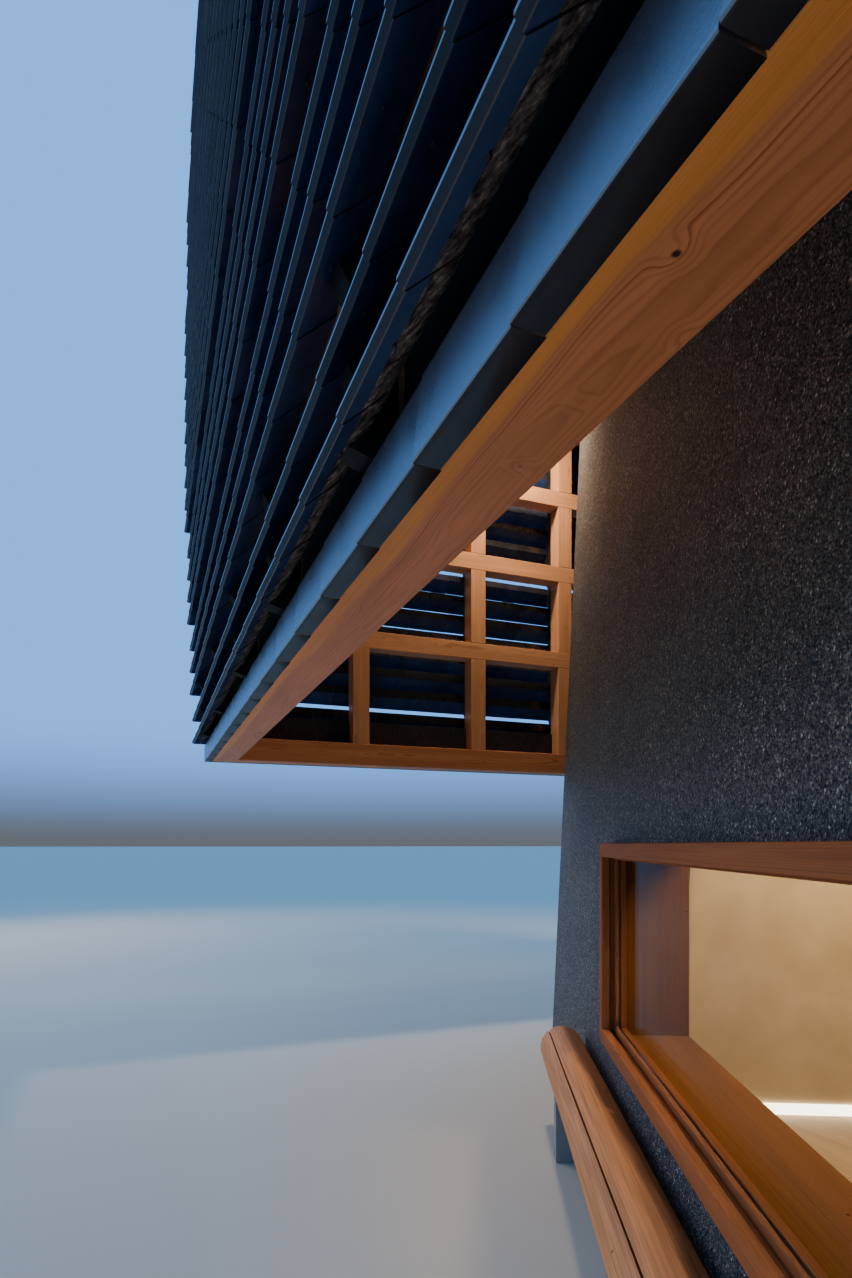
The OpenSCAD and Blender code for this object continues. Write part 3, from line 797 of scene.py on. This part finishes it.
def lattice(side):
    """Rails in one length, posts that butt against them, and boards behind the lowest panels."""
    bm = timber_bmesh()
    run = run_of(side)
    whole = side % 2 == 0
    half = POST / 2
    rail_end = run / 2 - half
    for height in RAIL_HEIGHTS:
        add_timber(bm, (-rail_end, -half, height - half), (rail_end, half, height + half), 0)
    faces = [height + turn * half for height in RAIL_HEIGHTS for turn in (-1, 1)]
    stops = [EAVE_Z + BEAM] + faces + [PLATE_Z]
    places = post_places(side)
    for k, x in enumerate(places):
        corner = k in (0, len(places) - 1)
        if corner and whole:
            add_timber(bm, (x - half, -half, stops[0]), (x + half, half, stops[-1]), 2)
        if not corner:
            for low, high in zip(stops[::2], stops[1::2]):
                add_timber(bm, (x - half, -half, low), (x + half, half, high), 2)
    name = SIDES[side]
    place = side_place(side)
    settle(bm, "lattice_timbers_" + name, LATTICE_CEDAR, ["lattice_" + name], place, crease=20)
    # Boards behind the lowest panels, nearly black: painted shade behind the lowest tile row
    bm = timber_bmesh()
    thick, height = SILL_BOARD
    for left, right in zip(places, places[1:]):
        low = (left + half, -half, EAVE_Z + BEAM)
        add_timber(bm, low, (right - half, thick - half, EAVE_Z + BEAM + height), 0)
    settle(bm, "sill_boards_" + name, STAINED_AND_SHADED, place=place, crease=20)


# Walls
def gravel_walls():
    """The five wall solids as one surface, without the faces where they meet."""
    names = ["wall_skew_front", "wall_front", "wall_right", "wall_rear", "wall_left"]
    bm = bmesh.new()
    for name in names:
        bm.from_mesh(nodes[name].data)
    bmesh.ops.remove_doubles(bm, verts=bm.verts, dist=0.0002)
    middle = Vector((0.3, 0.3, 0))
    seams = []
    for face in bm.faces:
        reach = face.calc_center_median() - middle
        reach.z = 0
        if abs(face.normal.z) < 0.01 and abs(face.normal.dot(reach.normalized())) < 0.002:
            seams.append(face)
    bmesh.ops.delete(bm, geom=seams, context="FACES")
    bmesh.ops.remove_doubles(bm, verts=bm.verts, dist=0.0002)
    settle(bm, "gravel_walls", GRAVEL, names)


def window_ring(bm, near, deep, width):
    """Four bars or boards round the window's opening: below, above, left and right."""
    left, right, low, high = 2.388, 4.988, 0.568, 1.456
    bars = [
        ((left, near, low), (right, deep, low + width), 0),
        ((left, near, high - width), (right, deep, high), 0),
        ((left, near, low + width), (left + width, deep, high - width), 2),
        ((right - width, near, low + width), (right, deep, high - width), 2),
    ]
    for start, end, run in bars:
        add_timber(bm, start, end, run, heart=(0.25, 0.40))


def window_members():
    """Casing, shadow groove, glazing beads and lining boards of the window: how far behind
    the line of the wall's foot each ring starts and ends, and how wide its bars are."""
    place = skew_place()
    bm = timber_bmesh()
    for near, deep, width in [
        (0.006, 0.041, 0.060), (0.041, 0.063, 0.046), (0.063, 0.079, 0.072),
        (0.079, 0.093, 0.062), (0.093, 0.117, 0.072),
    ]:
        window_ring(bm, near, deep, width)
    settle(bm, "window_frame_timbers", WINDOW_TIMBER, ["window_frame"], place, crease=20)
    bm = timber_bmesh()
    window_ring(bm, 0.117, 0.400, 0.030)
    settle(bm, "window_lining_boards", LINING_TIMBER, ["window_lining"], place, crease=20)


def log_bench():
    """Debarked log: slightly uneven, tapered, with rounded ends and a long relief cut."""
    start, length, thin, thick, axis_z = 1.850, 3.750, 0.114, 0.122, 0.385
    kerf_wide, kerf_deep, kerf_tall = 0.007, 0.055, 0.1
    uneven = 0.002
    stations = 40
    axis_y = BATTER * axis_z - thick
    bm = bmesh.new()
    made = bmesh.ops.create_cone(
        bm, cap_ends=True, segments=48, radius1=thin - uneven, radius2=thick - uneven, depth=length
    )["verts"]
    bmesh.ops.transform(bm, matrix=Matrix.Rotation(math.pi / 2, 4, "Y"), verts=made)
    ends = [face for face in bm.faces if len(face.verts) > 4]
    rims = list(dict.fromkeys(edge for face in ends for edge in face.edges))
    bmesh.ops.bevel(bm, geom=rims, affect="EDGES", offset=0.016, segments=4, profile=0.5, material=-1)
    for k in range(1, stations):
        bmesh.ops.bisect_plane(
            bm, geom=bm.verts[:] + bm.edges[:] + bm.faces[:], dist=1e-6,
            plane_co=(-length / 2 + 0.03 + (length - 0.06) * k / stations, 0, 0), plane_no=(1, 0, 0),
        )
    for vert in bm.verts:
        out = Vector((0, vert.co.y, vert.co.z))
        if out.length > 0.03:
            swell = noise.noise(Vector((vert.co.x * 1.1, vert.co.y * 6, vert.co.z * 6)))
            vert.co += out.normalized() * (swell * 0.004 - uneven)
    kerf = bmesh.new()
    bmesh.ops.create_cube(kerf, size=1.0)
    bmesh.ops.scale(kerf, vec=(length + 0.1, kerf_wide, kerf_tall), verts=kerf.verts)
    bmesh.ops.translate(kerf, vec=(0, 0, thick - kerf_deep + kerf_tall / 2), verts=kerf.verts)
    kerf_turn = Matrix.Rotation(math.radians(38), 3, "X")
    bmesh.ops.rotate(kerf, cent=(0, 0, 0), matrix=kerf_turn, verts=kerf.verts)
    bm = cut_away(bm, kerf)
    bm.verts.layers.float_vector.new("grain")
    mark_grain(bm, bm.verts, 0, (0.012, -0.008))
    bmesh.ops.translate(bm, vec=(start + length / 2, axis_y, axis_z), verts=bm.verts)
    settle(bm, "debarked_log", LOG_WOOD, ["log_bench"], skew_place(), crease=50)


def door_boards():
    """Six upright boards with V joints, and a plain timber pull outside."""
    low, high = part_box("entrance_door")
    bm = timber_bmesh()
    boards = 6
    width = (high.y - low.y) / boards
    for k in range(boards):
        start = low.y + k * width
        add_timber(bm, (low.x, start, low.z), (high.x, start + width, high.z), 2, eased=EASED_MORE)
    pull = low.y + 0.09
    add_timber(bm, (low.x - 0.040, pull, 0.95), (low.x - 0.015, pull + 0.03, 1.35), 2)
    for height in (1.00, 1.27):
        add_timber(bm, (low.x - 0.016, pull + 0.005, height), (low.x, pull + 0.025, height + 0.03), 0)
    settle(bm, "door_boards", CEDAR, ["entrance_door"], crease=20)


# Roof
def pantile():
    """One pantile: a shallow pan that rises to a roll, which laps the next tile's edge."""
    top = [
        (0, 0.022), (0.030, 0.014), (0.095, 0.012), (0.155, 0.016), (0.185, 0.032),
        (0.215, 0.042), (0.245, 0.036), (0.280, 0.020),
    ]
    section = top + [(across, up - PANTILE_THICK) for across, up in reversed(top)]
    bm = bmesh.new()
    drawn_section(bm, section, 0, slope_length() / COURSES + PANTILE_LAP)
    bmesh.ops.rotate(bm, cent=(0, 0, 0), matrix=Matrix.Rotation(math.pi / 2, 3, "Z"), verts=bm.verts)
    return bm


def slope_length():
    """The length of a roof slope from its eave to the ridge."""
    return (SIDE_RUN / 2 + ROOF_OUT) * math.hypot(1, ROOF_RISE)


def roof_courses(side):
    """Courses of pantiles up one slope, each lapped over the one below, cut at the hips."""
    blank = as_blank(pantile())
    slope = bmesh.new()
    slope.verts.layers.float.new("shade")
    pitch = math.atan(ROOF_RISE)
    step = slope_length() / COURSES
    deep = run_of(side + 1) / 2
    for course in range(COURSES):
        up = course * step
        inwards = -ROOF_OUT + up * math.cos(pitch)
        height = PLATE_TOP + ROOF_EDGE + up * math.sin(pitch)
        reach = run_of(side) / 2 - inwards
        count = math.ceil(2 * reach / PANTILE) + 1
        row = bmesh.new()
        shade = row.verts.layers.float.new("shade")
        for k in range(count):
            across = round(-reach / PANTILE + k - 0.5) * PANTILE
            place = Matrix.Translation((across, inwards + 0.012, height + 0.013))
            turn = Matrix.Rotation(pitch - COURSE_TILT + chance.uniform(-0.002, 0.002), 4, "X")
            verts = lay_blank(row, blank, place @ turn)
            give_tone(verts, shade, chance.random())
        join_to(slope, row)
    cut_mitres(slope, run_of(side))
    cut_off(slope, (0, deep, 0), (0, 1, 0))
    bpy.data.meshes.remove(blank)
    settle(slope, "pantiles_" + SIDES[side], ROOF_CLAY, place=side_place(side), crease=35)


def cap_line(caps, start, end, height):
    """Flat tiles in layers along a ridge or hip, with round cap tiles on them."""
    start, end = Vector(start), Vector(end)
    run = end - start
    line = bmesh.new()
    shade = line.verts.layers.float.new("shade")
    sunk, core = 0.03, 0.09
    body = height - 0.075
    layers = round((body + sunk) / FLAT_STEP)
    flats = math.ceil(run.length / CAP_LENGTH)
    tile = run.length / flats
    turns = [math.pi * n / 10 for n in range(11)]
    arc = [
        (CAP_RADIUS * math.cos(turn), body - 0.008 + CAP_RADIUS * math.sin(turn)) for turn in turns
    ]
    for k in range(flats):
        for layer in range(layers):
            half = 0.108 - 0.007 * layer
            low = body - (layers - layer) * FLAT_STEP
            flat = [(-half, low), (half, low), (half, low + FLAT_TILE), (-half, low + FLAT_TILE)]
            verts = drawn_section(line, flat, k * tile, (k + 1) * tile - 0.002)
            give_tone(verts, shade, chance.random())
        verts = drawn_section(line, arc, k * tile, (k + 1) * tile + 0.012)
        give_tone(verts, shade, chance.random())
        for vert in verts:
            lapped = 1 - 0.07 * (vert.co.x - k * tile) / tile
            vert.co.y *= lapped
            vert.co.z = body + (vert.co.z - body) * lapped
    filling = [(-core, -sunk), (core, -sunk), (core, body), (-core, body)]
    give_tone(drawn_section(line, filling, 0, run.length - 0.01), shade, 0.2)
    turn = Matrix.Rotation(math.atan2(run.y, run.x), 4, "Z")
    tilt = Matrix.Rotation(-math.atan2(run.z, math.hypot(run.x, run.y)), 4, "Y")
    bmesh.ops.transform(line, matrix=Matrix.Translation(start) @ turn @ tilt, verts=line.verts)
    join_to(caps, line)


def ridge_and_hips():
    """Layers of flat tiles and round caps on the ridge and the four hips."""
    ridge_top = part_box("roof_ridge")[1].z
    eave_x = FRONT_RUN / 2 + ROOF_OUT
    eave_y = SIDE_RUN / 2 + ROOF_OUT
    ridge_x = eave_x - eave_y
    base = PLATE_TOP + ROOF_EDGE
    top = base + eave_y * ROOF_RISE
    tall = ridge_top - top
    caps = bmesh.new()
    caps.verts.layers.float.new("shade")
    for turn_x in (-1, 1):
        for turn_y in (-1, 1):
            out_x, out_y = eave_x - HIP_START, eave_y - HIP_START
            foot = (turn_x * out_x, turn_y * out_y, base + HIP_START * ROOF_RISE)
            cap_line(caps, foot, (turn_x * ridge_x, 0, top), tall * 0.7)
    cap_line(caps, (-ridge_x - 0.11, 0, top), (ridge_x + 0.11, 0, top), tall - 0.004)
    settle(caps, "ridge_and_hip_tiles", ROOF_CLAY, ["roof_ridge"], crease=35)


def dress_nodes(material, *names):
    """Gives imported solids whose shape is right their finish."""
    for name in names:
        mesh = nodes[name].data
        mesh.materials.clear()
        mesh.materials.append(material)


def lit_strip():
    """Lit strip at the foot of the inner wall, beside the window."""
    bm = bmesh.new()
    verts = bmesh.ops.create_cube(bm, size=1.0)["verts"]
    bmesh.ops.scale(bm, vec=(0.012, 1.4, 0.05), verts=verts)
    bmesh.ops.translate(bm, vec=(2.254, 1.3, FLOOR_Z + 0.025), verts=verts)
    bmesh.ops.bevel(
        bm, geom=bm.edges[:], affect="EDGES", offset=0.003, segments=2, profile=0.5, material=-1
    )
    settle(bm, "lit_strip", LIT, place=skew_place())


rows = packed_rows()
for side in range(4):
    louvre_rows(side, rows)
    fascia_tiles(side)
    eave_beam(side)
    lattice(side)
    roof_courses(side)
ridge_and_hips()
gravel_walls()
window_members()
door_boards()
log_bench()
lit_strip()
dress_nodes(STAINED_AND_SHADED, *["tile_ribs_" + name for name in SIDES])
dress_nodes(PLASTER, "wall_plaster", "inner_wall")
dress_nodes(CONCRETE, "foundation_slab", "bench_supports")
dress_nodes(BOARDS, "ground_floor", "upper_floor")
dress_nodes(CEDAR_INNER, "upper_joists", "roof_ties", "top_plates", "door_frame")
dress_nodes(CEDAR_INNER, *["roof_" + name for name in SIDES])
dress_nodes(GLASS, "window_glass")

# Pale floor
bm = bmesh.new()
bmesh.ops.create_grid(bm, x_segments=1, y_segments=1, size=600)
floor_mesh = bpy.data.meshes.new("pale floor")
bm.to_mesh(floor_mesh)
bm.free()
pale, tree = new_material("pale floor")
surface = add_node(tree, "BsdfPrincipled", {"Base Color": linear("#cbbda3"), "Roughness": 0.9})
add_node(tree, "OutputMaterial", {"Surface": surface.outputs["BSDF"]})
floor_mesh.materials.append(pale)
floor = bpy.data.objects.new("pale_floor", floor_mesh)
scene.collection.objects.link(floor)


# Lights
def soft_light(name, place, towards, size, power, shade, spread=180):
    """A rectangular soft light that faces a point. Neither glass nor tiles mirror it."""
    data = bpy.data.lights.new(name, "AREA")
    data.shape = "RECTANGLE"
    data.size, data.size_y = size
    data.energy = power
    data.color = linear(shade)[:3]
    data.spread = math.radians(spread)
    lamp = bpy.data.objects.new(name, data)
    lamp.location = place
    lamp.rotation_euler = (Vector(towards) - Vector(place)).to_track_quat("-Z", "Y").to_euler()
    lamp.visible_glossy = False
    lamp.visible_camera = False
    scene.collection.objects.link(lamp)


soft_light("left_soft_light", (-15, -10, 5.5), (-3.5, -2.5, 0.8), (10, 5), 420, "#fff0dc", spread=110)
soft_light("low_warm_light", (-1.2, -3.95, 0.05), (-1.2, -3.70, 2.0), (7.0, 0.4), 24, "#ffe0c0")
soft_light("corner_warm_light", (-4.05, -1.85, 4.7), (-4.5, -1.5, 3.2), (0.3, 0.3), 85, "#fff0de")
soft_light("high_soft_light", (8, 8, 18), (0.5, 0.5, 4), (6, 6), 800, "#fff1de", spread=58)
room = skew_place() @ Vector((3.2, 1.3, 2.3))
room_floor = skew_place() @ Vector((2.6, 1.2, 0.2))
soft_light("room_light", room, room_floor, (0.8, 0.8), 58, "#ffe4c0")

# Backdrop: a light blue sky that fades to a dim neutral grey near the horizon
world = bpy.data.worlds.new("pale sky")
world.use_nodes = True
tree = world.node_tree
tree.nodes.clear()
towards = add_node(tree, "TexCoord").outputs["Generated"]
up = add_node(tree, "SeparateXYZ", {"Vector": towards}).outputs["Z"]
height = add_node(
    tree, "MapRange", {"Value": up, "From Min": 0.0, "From Max": 0.16}, interpolation_type="SMOOTHSTEP"
).outputs["Result"]
shade = add_node(
    tree, "Mix", {"Factor": height, "A": linear("#54585f"), "B": linear("#68acff")}, data_type="RGBA"
).outputs["Result"]
glow = add_node(tree, "Background", {"Color": shade, "Strength": 1.55}).outputs["Background"]
add_node(tree, "OutputWorld", {"Surface": glow})
scene.world = world
